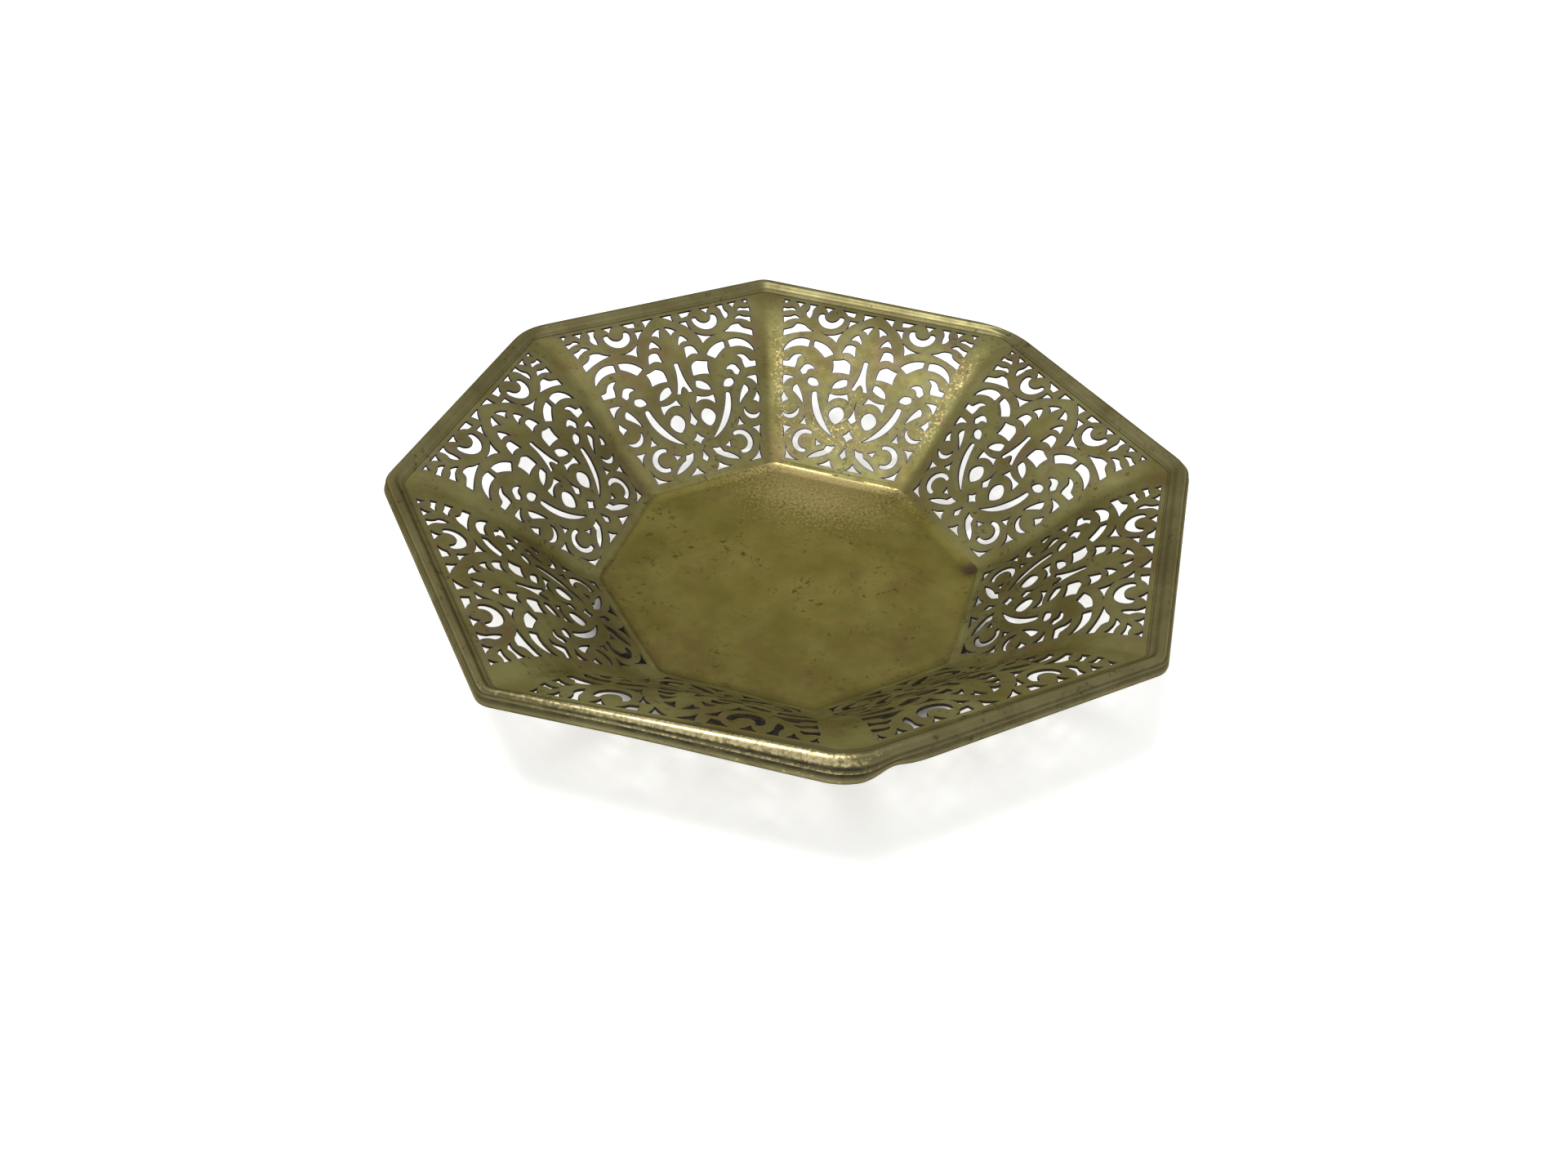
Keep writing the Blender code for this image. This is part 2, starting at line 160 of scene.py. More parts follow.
# Piercings of the right-hand half of a panel seen from inside, in the same form, in mm across from
# the middle and up the wall
HALF_PIERCINGS = {
    "corner_tip": ((35.0, 64.9, -0.12), (36.4, 62.7, -0.12), (37.5, 64.9, 0)),
    "corner_tooth": ((29.0, 64.9, -0.12), (30.5, 62.3, -0.12), (32.8, 64.9, 0)),
    "top_hook": ((24.0, 64.9, -0.1), (25.4, 62.2, 0.05), (25.4, 58.2, 0.15), (27.4, 60.9, -0.15),
                 (27.2, 64.9, 0)),
    "ball_tooth": ((17.3, 64.9, -0.1), (19.4, 62.3, -0.1), (21.6, 64.9, 0)),
    "top_crescent": ((12.7, 60.6, 0.56), (22.3, 60.6, 0.25), (20.4, 61.3, -0.51),
                     (14.5, 61.3, 0.25)),
    "top_bar": ((9.2, 62.4, 0), (11.8, 62.8, -0.1), (14.4, 64.9, 0), (8.9, 64.9, -0.05)),
    "arch_spandrel": ((1.2, 64.9, -0.06), (5.6, 61.5, -0.08), (5.9, 64.9, 0)),
    "arch_wedge": ((7.1, 60.4, -0.08), (10.6, 56.4, -0.06), (10.3, 60.5, 0)),
    "arch_eye": ((0.9, 59.7, -0.05), (2.3, 55.5, -0.2), (4.9, 57.1, 0.1)),
    "petal_tip": ((3.5, 51.0, -0.2), (7.7, 52.1, 0.1), (5.7, 55.1, 0.08)),
    "petal_upper": ((4.7, 45.8, -0.18), (9.8, 46.4, 0.05), (8.7, 49.8, 0.15), (5.4, 49.9, 0)),
    "petal_middle": ((5.1, 38.8, -0.06), (11.5, 38.2, -0.08), (12.3, 43.0, -0.03),
                     (8.4, 44.1, 0.1), (5.6, 42.6, 0.03)),
    "petal_lower": ((4.9, 34.6, 0.08), (10.2, 32.5, 0.12), (8.3, 35.8, 0.1), (5.3, 36.8, 0.05)),
    "wing": ((2.7, 28.8, -0.22), (10.2, 27.0, 0.05), (10.5, 30.6, -0.1), (4.0, 31.6, -0.05)),
    "oval": ((5.8, 19.6, 0.12), (9.1, 22.9, 0.18), (5.8, 26.3, 0.18), (3.3, 22.9, 0.12)),
    "brow_outer": ((22.8, 46.3, -0.13), (31.6, 42.8, 0.25), (22.8, 49.1, 0)),
    "brow_inner": ((12.8, 45.4, 0), (15.6, 43.4, -0.04), (20.8, 46.9, 0), (21.0, 49.2, 0.12)),
    "side_wing": ((22.5, 52.9, -0.05), (33.2, 48.8, 0), (33.7, 51.3, 0), (31.0, 52.7, -0.1),
                  (29.8, 54.9, 0.1), (26.0, 54.6, -0.06)),
    "inner_star": ((11.4, 55.0, -0.08), (12.9, 50.1, -0.08), (18.3, 52.4, -0.1)),
    "comb_upper": ((31.4, 60.4, -0.1), (36.1, 59.0, 0), (36.6, 61.1, -0.12), (33.4, 61.8, 0.12)),
    "comb_lower": ((28.9, 57.1, -0.1), (32.6, 56.0, -0.1), (34.3, 54.2, 0), (35.3, 56.9, -0.1),
                   (31.5, 58.5, 0.08)),
    "hook_outer": ((25.8, 37.5, 0), (30.4, 37.4, 0), (30.8, 39.4, -0.08), (28.5, 39.8, 0.05),
                   (27.2, 42.2, 0.12), (24.0, 42.9, -0.1), (25.7, 40.9, 0.05)),
    "hook_inner": ((22.2, 35.5, 0), (23.6, 37.0, 0), (22.5, 39.2, 0.15), (20.2, 39.7, 0.1),
                   (18.2, 38.4, -0.1), (20.4, 37.9, -0.1), (20.9, 36.3, 0)),
    "bean": ((15.3, 32.6, 0.05), (17.6, 32.0, 0.1), (19.8, 33.2, 0.1), (19.4, 34.9, 0.1),
             (16.7, 34.8, 0.1)),
    "rib_tooth": ((24.9, 33.9, -0.15), (28.4, 30.2, 0.05), (29.3, 34.0, 0.05)),
    "leaf": ((19.4, 24.9, -0.03), (24.4, 28.9, 0.2), (23.4, 31.6, 0.06)),
    "rib_tooth_low": ((25.1, 25.2, -0.1), (27.1, 23.6, 0), (28.1, 25.8, 0), (27.6, 28.0, -0.05)),
    "smile": ((20.7, 23.3, 0.53), (26.5, 20.4, -0.29)),
    "seed": ((16.0, 17.4, 0), (18.9, 17.3, -0.1), (17.6, 20.4, -0.1)),
    "foot_tooth": ((21.3, 15.6, -0.12), (23.5, 11.3, -0.08), (25.0, 15.7, -0.06)),
    "base_ring": ((14.2, 7.0, 0.74), (13.4, 15.2, 0.2), (13.7, 14.0, -0.68), (14.2, 8.3, 0.1)),
    "ring_tooth": ((8.7, 11.4, -0.05), (10.8, 10.2, -0.05), (11.4, 12.7, -0.08)),
    "base_blade": ((4.6, 9.3, 0.08), (12.8, 5.1, 0.08), (7.6, 9.3, 0), (6.8, 11.3, -0.1),
                   (3.7, 11.8, 0)),
    "foot_triangle": ((2.4, 3.1, 0), (8.3, 3.4, -0.1), (4.4, 6.1, -0.08)),
    "foot_corner": ((15.9, 3.4, 0), (20.8, 3.3, -0.05), (21.6, 7.8, -0.14)),
    "stem": ((5.5, 15.0, 0.15), (17.0, 29.6, 0.3), (15.3, 29.9, -0.07)),
}
CENTRE_PIERCINGS = {
    "fork": ((-3.1, 33.4, 0), (-1.5, 33.3, -0.1), (0, 35.9, -0.1), (1.5, 33.3, 0),
             (3.1, 33.4, -0.06), (0.8, 44.6, 0.1), (-0.8, 44.6, -0.06)),
    "bud": ((0, 20.9, 0), (1.6, 22.4, -0.08), (0, 27.5, -0.08), (-1.6, 22.4, 0)),
    "diamond": ((0, 13.9, -0.1), (2.3, 15.9, -0.1), (0, 18.3, -0.1), (-2.3, 15.9, -0.1)),
    "spade": ((0, 7.2, 0), (1.3, 8.6, -0.05), (0, 11.6, -0.05), (-1.3, 8.6, 0)),
}


# ---------------------------------------------------------------- the dish's surface

def measure_wall(samples=2000):
    """Return lengths along a panel's middle line, with how far out and up the wall is at each."""
    t = np.linspace(0, 1, samples)
    near, far, end = 3 * t * (1 - t) ** 2, 3 * t * t * (1 - t), t ** 3
    out = near * WALL_FOOT_HANDLE[0] + far * WALL_RIM_HANDLE[0] + end
    up = near * WALL_FOOT_HANDLE[1] + far * WALL_RIM_HANDLE[1] + end
    steps = np.hypot(np.diff(out) * (RIM_CORNER - BASE_CORNER) * MITRE, np.diff(up) * DEPTH)
    return np.concatenate([[0], np.cumsum(steps)]), out, up


LENGTHS, WALL_OUT, WALL_UP = measure_wall()
WALL_LENGTH = LENGTHS[-1]


def wall_at(length):
    """Return how far out and up the wall is at lengths along a panel's middle line."""
    return np.interp(length, LENGTHS, WALL_OUT), np.interp(length, LENGTHS, WALL_UP)


def half_width(length):
    """Return half the width of a panel at lengths up the wall."""
    out, _ = wall_at(length)
    return (BASE_CORNER + (RIM_CORNER - BASE_CORNER) * out) * HALF_SIDE


def corner_line(corner, out, up, beyond):
    """Return points of a corner's fold: out and up the wall, and a distance beyond that in plan."""
    knock_out, knock_up = KNOCKED_CORNERS.get(corner % SIDES, (0, 0))
    radius = BASE_CORNER + (RIM_CORNER + knock_out - BASE_CORNER) * out + beyond / MITRE
    height = JOINT_HEIGHT + (DEPTH + knock_up) * up
    azimuth = 2 * math.pi * corner / SIDES
    return np.stack([radius * math.sin(azimuth), radius * math.cos(azimuth), height], axis=-1)


def corner_reach(corner, out, beyond):
    """Return how far from a corner its rounding starts."""
    near = CORNER_REACH
    if corner % SIDES == FRONT_CORNER:
        near = CORNER_REACH + (FRONT_REACH - CORNER_REACH) * np.clip(out, 0, 1) ** 2
    return near + (RIM_REACH[corner % SIDES] * MM - near) * np.clip(beyond / RIM_REACH_WHOLE, 0, 1)


def place(corner, share, out, up, beyond, lift):
    """Return points of the side between a corner and the next one, rounded in plan at both.

    Share goes from 0 at the first corner to 1 at the next one. Lift is a rise on top of the wall's.
    """
    near, far = corner_line(corner, out, up, beyond), corner_line(corner + 1, out, up, beyond)
    points = near + (far - near) * share[:, None]
    width = np.linalg.norm((far - near)[:, :2], axis=1)
    for end, distance in ((corner, share * width), (corner + 1, (1 - share) * width)):
        reach = np.minimum(corner_reach(end, out, beyond), 0.3 * width)
        rounding = np.clip(reach - distance, 0, None) ** 2 * HALF_SIDE / (2 * reach)
        azimuth = 2 * math.pi * end / SIDES
        points[:, 0] -= rounding * math.sin(azimuth)
        points[:, 1] -= rounding * math.cos(azimuth)
    points[:, 2] += lift
    return points


def ripple(corner, across, length):
    """Return how far the uneven sheet of a panel stands off its true shape."""
    x, y = across / MM, length / MM
    wave = np.sin(0.42 * x + 0.9 * corner) * np.sin(0.37 * y + 1.7 * corner)
    wave += 0.6 * np.sin(0.63 * x - 0.35 * y + 2.3 * corner)
    wave += 0.5 * np.sin(0.28 * x + 0.71 * y + 0.6 * corner)
    edge = np.clip(1 - (across / half_width(length)) ** 2, 0, 1)
    return RIPPLE * wave * edge * np.sin(math.pi * length / WALL_LENGTH)


def wall_place(corner, across, length):
    """Return points of the inner face of a panel, from places in its flat pattern."""
    length = np.clip(length, 0, WALL_LENGTH)
    out, up = wall_at(length)
    share = 0.5 + across / (2 * half_width(length))
    flat = np.zeros_like(out)
    azimuth = 2 * math.pi * (corner + 0.5) / SIDES
    look = unit(np.array([-math.sin(azimuth), -math.cos(azimuth), 1.2]))
    return place(corner, share, out, up, flat, flat) + ripple(corner, across, length)[:, None] * look


def unit(vectors):
    """Return vectors at length 1."""
    return vectors / np.linalg.norm(vectors, axis=-1, keepdims=True)


def wall_normal(corner, across, length, step=0.5 * MM):
    """Return the directions in which the inner face of a panel looks."""
    width = half_width(length)
    left, right = np.maximum(across - step, -width), np.minimum(across + step, width)
    low, high = np.maximum(length - step, 0), np.minimum(length + step, WALL_LENGTH)
    along = wall_place(corner, right, length) - wall_place(corner, left, length)
    share = across / width
    climb = wall_place(corner, share * half_width(high), high)
    climb -= wall_place(corner, share * half_width(low), low)
    return unit(np.cross(along, climb))


# ---------------------------------------------------------------- flat outlines

def arc(start, end, rise):
    """Return points from start up to, but without, end on an arc that rises to the right."""
    chord = end - start
    if rise == 0:
        return [start]
    turn = 4 * math.atan(2 * rise)
    right = Vector((chord.y, -chord.x)).normalized()
    centre = (start + end) / 2 - right * chord.length / (2 * math.tan(turn / 2))
    spoke = start - centre
    steps = max(1, round(spoke.length * abs(turn) / ARC_STEP))
    points = []
    for i in range(steps):
        cos, sin = math.cos(turn * i / steps), math.sin(turn * i / steps)
        points.append(centre + Vector((spoke.x * cos - spoke.y * sin, spoke.x * sin + spoke.y * cos)))
    return points


def soften(points, radius):
    """Return an outline with its sharp corners rounded."""
    soft = []
    for before, here, after in zip(points[-1:] + points[:-1], points, points[1:] + points[:1]):
        back, on = before - here, after - here
        if back.angle(on) > math.radians(150):
            soft.append(here)
            continue
        start = here + back.normalized() * min(radius, 0.45 * back.length)
        end = here + on.normalized() * min(radius, 0.45 * on.length)
        soft += [start, (start + end) / 4 + here / 2, end]
    return soft


def outline(corners):
    """Return the points of an outline in metres."""
    points = []
    for (x, y, rise), (next_x, next_y, _) in zip(corners, corners[1:] + corners[:1]):
        points += arc(Vector((x, y)) * MM, Vector((next_x, next_y)) * MM, rise)
    return points


def widened(points, by):
    """Return an outline moved outwards by a distance."""
    wide = []
    for before, here, after in zip(points[-1:] + points[:-1], points, points[1:] + points[:1]):
        first, second = (here - before).normalized(), (after - here).normalized()
        looks = Vector((first.y, -first.x)) + Vector((second.y, -second.x))
        wide.append(here + looks * by / (1 + first.dot(second)))
    return wide


def filled(outlines):
    """Return a flat mesh inside the first outline and outside the others."""
    curve = bpy.data.curves.new("filled", "CURVE")
    curve.dimensions = "2D"
    curve.fill_mode = "BOTH"
    for points in outlines:
        spline = curve.splines.new("POLY")
        spline.points.add(len(points) - 1)
        for target, (x, y) in zip(spline.points, points):
            target.co = (x, y, 0, 1)
        spline.use_cyclic_u = True
    guide = bpy.data.objects.new("filled", curve)
    bpy.context.scene.collection.objects.link(guide)
    flat = guide.evaluated_get(bpy.context.evaluated_depsgraph_get())
    mesh = bpy.data.meshes.new_from_object(flat)
    bpy.data.objects.remove(guide)
    bpy.data.curves.remove(curve)
    return mesh


def hole_outlines():
    """Return the outlines of all piercings of a panel, in metres."""
    holes = [outline(corners) for corners in CENTRE_PIERCINGS.values()]
    for corners in HALF_PIERCINGS.values():
        holes.append(outline(corners))
        holes.append([Vector((-p.x, p.y)) for p in reversed(holes[-1])])
    return [soften(points, CUT_CORNER) for points in holes]


def add_cut_wall(bm, points, edge):
    """Add the wall of a cut through the sheet, with rounded edges of the given size."""
    half = SHEET / 2
    steps = [(edge * (1 - math.sin(a)), half - edge * (1 - math.cos(a)))
             for a in (0, math.pi / 4, math.pi / 2)] if edge else [(0, half)]
    rows = []
    for by, height in steps + [(by, -height) for by, height in reversed(steps)]:
        rows.append([bm.verts.new((*p, height)) for p in (widened(points, by) if by else points)])
    for upper, lower in zip(rows, rows[1:]):
        for i in range(len(points)):
            after = (i + 1) % len(points)
            bm.faces.new((upper[i], upper[after], lower[after], lower[i]))


def pierced_sheet(levels):
    """Return a panel's flat pattern as a solid sheet centred on z = 0, in a bmesh."""
    side = [Vector((half_width(level), level)) for level in levels]
    border = side + [Vector((-p.x, p.y)) for p in reversed(side)]
    bm = bmesh.new()
    cap = filled([border] + [widened(points, CUT_EDGE) for points in HOLE_OUTLINES])
    for height in (SHEET / 2, -SHEET / 2):
        before = len(bm.verts)
        bm.from_mesh(cap)
        bm.verts.ensure_lookup_table()
        for vertex in bm.verts[before:]:
            vertex.co.z = height
    bpy.data.meshes.remove(cap)
    add_cut_wall(bm, border, 0)
    for points in HOLE_OUTLINES:
        add_cut_wall(bm, points, CUT_EDGE)
    bmesh.ops.remove_doubles(bm, verts=bm.verts, dist=0.000002)
    bmesh.ops.recalc_face_normals(bm, faces=bm.faces)
    return bm


def cut(bm, place_on, normal):
    """Divide every face of a mesh along a plane."""
    everything = bm.verts[:] + bm.edges[:] + bm.faces[:]
    bmesh.ops.bisect_plane(bm, geom=everything, plane_co=place_on, plane_no=normal)


def slide(bm, side):
    """Move every vertex across by the panel's half width, so that a fold becomes a straight line."""
    lengths = np.array([vertex.co.y for vertex in bm.verts])
    for vertex, width in zip(bm.verts, half_width(lengths)):
        vertex.co.x += side * width


def banded_sheet():
    """Return the flat pattern divided into the bands in which it is bent."""
    levels = np.linspace(0, WALL_LENGTH, round(WALL_LENGTH / LEVEL_STEP) + 1)
    bm = pierced_sheet(levels)
    for level in levels[1:-1]:
        cut(bm, (0, level, 0), (0, 1, 0))
    for across in range(-ACROSS_CUTS, ACROSS_CUTS + 1):
        cut(bm, (across * ACROSS_STEP, 0, 0), (1, 0, 0))
    for side in (-1, 1):
        slide(bm, side)
        for band in FOLD_CUTS:
            cut(bm, (side * band * MM, 0, 0), (1, 0, 0))
        slide(bm, -side)
    mesh = bpy.data.meshes.new("pierced_sheet")
    bm.to_mesh(mesh)
    bm.free()
    set_values(mesh, "grime", grime_of(mesh))
    return mesh


# ---------------------------------------------------------------- pieces

def add_piece(name, mesh, materials):
    """Put a mesh in the scene as the piece that stands for the CAD node of the same name."""
    piece = bpy.data.objects.new(name + "_form", mesh)
    bpy.context.scene.collection.objects.link(piece)
    for material in materials:
        mesh.materials.append(material)
    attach(piece, "root")
    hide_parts(name)
    return piece


def set_values(mesh, name, values):
    """Store a value for each vertex of a mesh."""
    mesh.attributes.new(name, "FLOAT", "POINT").data.foreach_set("value", values)


def wear_at(points, places):
    """Return how far the patina is worn off at points, or on the base how strong a painted reflection is: 0
    for not at all, 1 for bare brass.
    """
    worn = np.zeros(len(points))
    for (x, y, z), (half_length, half_depth), azimuth, strength in places:
        away = points / MM - np.array([x, y, z])
        turn = math.radians(azimuth)
        along = away[:, 0] * math.cos(turn) - away[:, 1] * math.sin(turn)
        outward = away[:, 0] * math.sin(turn) + away[:, 1] * math.cos(turn)
        slope = np.hypot(outward, away[:, 2])
        worn += strength * np.exp(-(along / half_length) ** 2 - (slope / half_depth) ** 2)
    return np.clip(worn, 0, 1)


def grime_of(mesh):
    """Return how much grime a flat pattern has at each vertex: 1 at a piercing, little well away."""
    tree = KDTree(sum(len(points) for points in HOLE_OUTLINES))
    for points in HOLE_OUTLINES:
        for point in points:
            tree.insert((*point, 0), 0)
    tree.balance()
    away = [tree.find((vertex.co.x, vertex.co.y, 0))[2] for vertex in mesh.vertices]
    return np.clip(1 - np.array(away) / GRIME_REACH, LEAST_GRIME, 1)


def add_panel(corner, pattern, materials):
    """Bend a copy of the flat pattern into the wall between a corner and the next one."""
    mesh = pattern.copy()
    count = len(mesh.vertices)
    flat = np.empty(count * 3)
    mesh.vertices.foreach_get("co", flat)
    across, length, depth = flat.reshape(-1, 3).T
    length = np.clip(length, 0, WALL_LENGTH)
    normals = wall_normal(corner, across, length)
    points = wall_place(corner, across, length) + normals * (depth - SHEET / 2)[:, None]
    # Faces of the sheet look straight up or down in the flat pattern, and walls of cuts don't
    facing = np.array([round(face.normal.z, 3) for face in mesh.polygons])
    mesh.vertices.foreach_set("co", points.ravel())
    mesh.update()
    mesh.shade_smooth()
    mesh.set_sharp_from_angle(angle=math.radians(35))
    loop_normals = np.zeros((len(mesh.loops), 3))
    for face, look in zip(mesh.polygons, facing):
        face.material_index = 0 if abs(look) == 1 else 1
        if abs(look) == 1:
            for loop in face.loop_indices:
                loop_normals[loop] = normals[mesh.loops[loop].vertex_index] * look
    mesh.normals_split_custom_set(loop_normals)
    set_values(mesh, "wear", wear_at(points, WORN_WALL))
    grime = np.empty(count)
    mesh.attributes["grime"].data.foreach_get("value", grime)
    mesh.attributes["grime"].data.foreach_set("value", grime * PANEL_GRIME[corner])
    return add_piece(f"wall_panel_{corner + 1}", mesh, materials)


def ring_mesh(name, grid):
    """Return a smooth closed mesh over a row of rings of points, with both ends filled."""
    rows, columns = grid.shape[:2]
    faces = []
    for row in range(rows - 1):
        for column in range(columns):
            after = (column + 1) % columns
            faces.append((row * columns + column, (row + 1) * columns + column,
                          (row + 1) * columns + after, row * columns + after))
    mesh = bpy.data.meshes.new(name)
    mesh.from_pydata(grid.reshape(-1, 3), [], faces)
    bm = bmesh.new()
    bm.from_mesh(mesh)
    bmesh.ops.holes_fill(bm, edges=[edge for edge in bm.edges if edge.is_boundary], sides=0)
    bmesh.ops.recalc_face_normals(bm, faces=bm.faces)
    bm.to_mesh(mesh)
    bm.free()
    mesh.shade_smooth()
    mesh.set_sharp_from_angle(angle=SMOOTH_LIMIT)
    return mesh


def rail_stations():
    """Return how far along a side the rail is divided, from 0 to 1, closer at the corners."""
    width = 2 * half_width(WALL_LENGTH)
    near = np.linspace(0, max(RIM_REACH) * MM, 17) / width
    middle = np.linspace(near[-1], 1 - near[-1], 40)
    return np.concatenate([near[:-1], middle, 1 - near[-2::-1]])


def rail_grid(corner, stations):
    """Return the rim moulding's points on one side, by station and by place in its section."""
    section = np.array([tuple(p) for p in SECTION_POINTS])
    share = np.repeat(stations, len(section))
    beyond, lift = np.tile(section, (len(stations), 1)).T
    ones = np.ones_like(share)
    outer = np.clip((beyond - RIM_BEND[0]) / RIM_BEND[1], 0, 1)
    low = np.clip(0.3 - lift / MM, 0, 1)
    rises, reaches = [[table[c % SIDES] * MM for c in (corner, corner + 1)]
                      for table in (RIM_RISE, RIM_REACH_OUT)]
    lift = lift + outer * np.interp(share, (0, 1), rises)
    beyond = beyond + outer * np.interp(share, (0, 1), reaches)
    width = 2 * half_width(WALL_LENGTH)
    behind, before = (corner, KNOCK_REACH[1], share), (corner + 1, KNOCK_REACH[0], 1 - share)
    for end, reach, away in (behind, before):
        if end % SIDES == FRONT_CORNER:
            near = np.clip(1 - away * width / reach, 0, 1)
            lift = lift - outer * KNOCK_DROP * near * near * (3 - 2 * near)
    if (corner + 1) % SIDES == FRONT_CORNER:
        dent = DENT[2] * np.exp(-(((1 - share) * width - DENT[0]) / DENT[1]) ** 2)
        lift = lift + outer * low * dent
        beyond = beyond - outer * (0.4 + 0.6 * low) * dent
    return place(corner, share, ones, ones, beyond, lift).reshape(len(stations), len(section), 3)


def add_rail(corner, material):
    """Add the rim moulding between a corner and the next one, shaded smoothly into the next."""
    stations = rail_stations()
    grid = rail_grid(corner, stations)
    before = rail_grid(corner - 1, stations[-2:-1])
    after = rail_grid(corner + 1, stations[1:2])
    extended = np.concatenate([before, grid, after])
    along = extended[2:] - extended[:-2]
    around = np.roll(grid, -1, axis=1) - np.roll(grid, 1, axis=1)
    normals = unit(np.cross(around, along)).reshape(-1, 3)
    mesh = ring_mesh("rim_rail", grid)
    loop_normals = np.zeros((len(mesh.loops), 3))
    for face in mesh.polygons:
        if len(face.vertices) > 4:
            continue
        for loop in face.loop_indices:
            normal = normals[mesh.loops[loop].vertex_index]
            if abs(float(np.dot(normal, face.normal))) > math.cos(math.radians(25)):
                loop_normals[loop] = normal * np.sign(np.dot(normal, face.normal))
    mesh.normals_split_custom_set(loop_normals)
    heights = np.tile(np.array([point.y for point in SECTION_POINTS]), len(stations)) / MM
    beyond = np.tile(np.array([point.x for point in SECTION_POINTS]), len(stations)) / MM
    wear = wear_at(grid.reshape(-1, 3), WORN_RIM)
    # Grime on the step by the seam, and painted shade: darker towards the bottom of the section, over the
    # lower bead, less where worn
    grime = 0.15 * np.clip(1 - abs(beyond - 0.65) / 0.35, 0, 1) + np.clip(-1.2 - heights, 0, 0.7)
    grime += 0.45 * np.clip(0.2 - heights, 0, 1) * (1 - wear)
    for out, up in RIM_GROOVES:
        near = np.clip(1 - np.hypot(beyond - out, heights - up) / GROOVE_REACH, 0, 1)
        grime += (0.7 + 0.9 * wear) * near
    grime = np.clip(grime, 0, 1)
    set_values(mesh, "grime", grime)
    crest = np.clip(0.38 + 0.30 * heights, 0.30, 1) * np.clip((beyond - 1.8) / 1.5, 0, 1)
    set_values(mesh, "wear", wear * crest * (1 - grime))
    return add_piece(f"rim_rail_{corner + 1}", mesh, [material])


def base_shares():
    """Return the places along a side where the base is divided, from 0 up to but without 1."""
    near = np.linspace(0, CORNER_REACH, 6) / (2 * half_width(0))
    middle = np.linspace(near[-1], 1 - near[-1], 18)
    return np.concatenate([near[:-1], middle, 1 - near[-2:0:-1]])


def base_ring(inset, depth):
    """Return an octagonal ring of the base, in from the joint with the wall, at a depth in the sheet."""
    shares = base_shares()
    across = max(COVE_RADIUS * math.sin(COVE_ANGLE) - inset, 0)
    slope = math.asin(across / COVE_RADIUS)
    rise = SHEET + COVE_RADIUS * (1 - math.cos(slope)) - depth * math.cos(slope)
    rise -= STEP_DOWN * min(max(1 - inset / STEP_REACH, 0), 1)
    flat = np.zeros_like(shares)
    beyond = np.full_like(shares, depth * math.sin(slope) - inset)
    lift = np.full_like(shares, rise - JOINT_HEIGHT)
    return np.concatenate([place(c, shares, flat, flat, beyond, lift) for c in range(SIDES)])


def add_base(material):
    """Add the base: octagonal rings from the centre out to the joint with the wall, and back below."""
    cove = np.linspace(-BASE_LAP, COVE_SPAN, 17)
    floor = np.linspace(COVE_SPAN, BASE_CORNER * MITRE - MIDDLE_GAP, 26)[1:]
    insets = np.concatenate([cove, floor])
    rings = [base_ring(inset, 0) for inset in insets[::-1]]
    rings += [base_ring(inset, SHEET) for inset in insets]
    rings = np.array(rings)
    for point in rings.reshape(-1, 3):
        point[2] += BASE_WAVE[0] * (1 + noise.noise(Vector((point[0], point[1], 0)) / BASE_WAVE[1]))
    mesh = ring_mesh("base_plate", rings)
    points = rings.reshape(-1, 3)
    joint = np.repeat(np.concatenate([insets[::-1], insets]), rings.shape[1]) / MM
    by_side = np.repeat(JOINT_GRIME, rings.shape[1] // SIDES)
    grime = np.clip(1 - abs(joint) / 1.3, 0, 1) * np.tile(by_side, len(rings))
    # Small spots are grime; the broad ones at corners 3 to 6 are painted shade darkening the front of the
    # base
    for corner, size, strength in BASE_SMUDGES_AND_SHADE:
        spot = corner_line(corner, 0, 0, -2 * MM)
        away = np.linalg.norm(points[:, :2] - spot[:2], axis=1) / MM
        grime += strength * np.exp(-(away / size) ** 2)
    set_values(mesh, "grime", np.clip(grime, 0, 1))
    set_values(mesh, "wear", wear_at(points, WORN_BASE_AND_SHEEN))
    return add_piece("base_plate", mesh, [material])


# ---------------------------------------------------------------- materials

def add_node(tree, kind, inputs=None, **settings):
    """Add a shader node with its settings, and its inputs as values or as links."""
    made = tree.nodes.new(kind)
    for key, value in settings.items():
        setattr(made, key, value)
    for key, value in (inputs or {}).items():
        if isinstance(value, bpy.types.NodeSocket):
            tree.links.new(value, made.inputs[key])
        else:
            made.inputs[key].default_value = value
    return made


def grain(tree, where, scale, detail=4.0, roughness=0.55, distortion=0.0):
    """Return the value of a noise with so many features to the metre."""
    values = {"Vector": where, "Scale": scale, "Detail": detail, "Roughness": roughness,
              "Distortion": distortion}
    return add_node(tree, "ShaderNodeTexNoise", values).outputs["Fac"]


def ramp(tree, value, low, high, start=0.0, end=1.0):
    """Return a value turned from low..high into start..end, and held there."""
    values = {"Value": value, "From Min": low, "From Max": high, "To Min": start, "To Max": end}
    return add_node(tree, "ShaderNodeMapRange", values).outputs["Result"]


def tint(tree, share, first, second):
    """Return a colour between two, which are colours or sockets."""
    node = add_node(tree, "ShaderNodeMix", {0: share}, data_type="RGBA")
    for index, colour in ((6, first), (7, second)):
        if isinstance(colour, bpy.types.NodeSocket):
            tree.links.new(colour, node.inputs[index])
        else:
            node.inputs[index].default_value = (*colour, 1)
    return node.outputs[2]


def times(tree, first, second):
    """Return the product of two values."""
    node = add_node(tree, "ShaderNodeMath", {0: first, 1: second}, operation="MULTIPLY")
    return node.outputs[0]


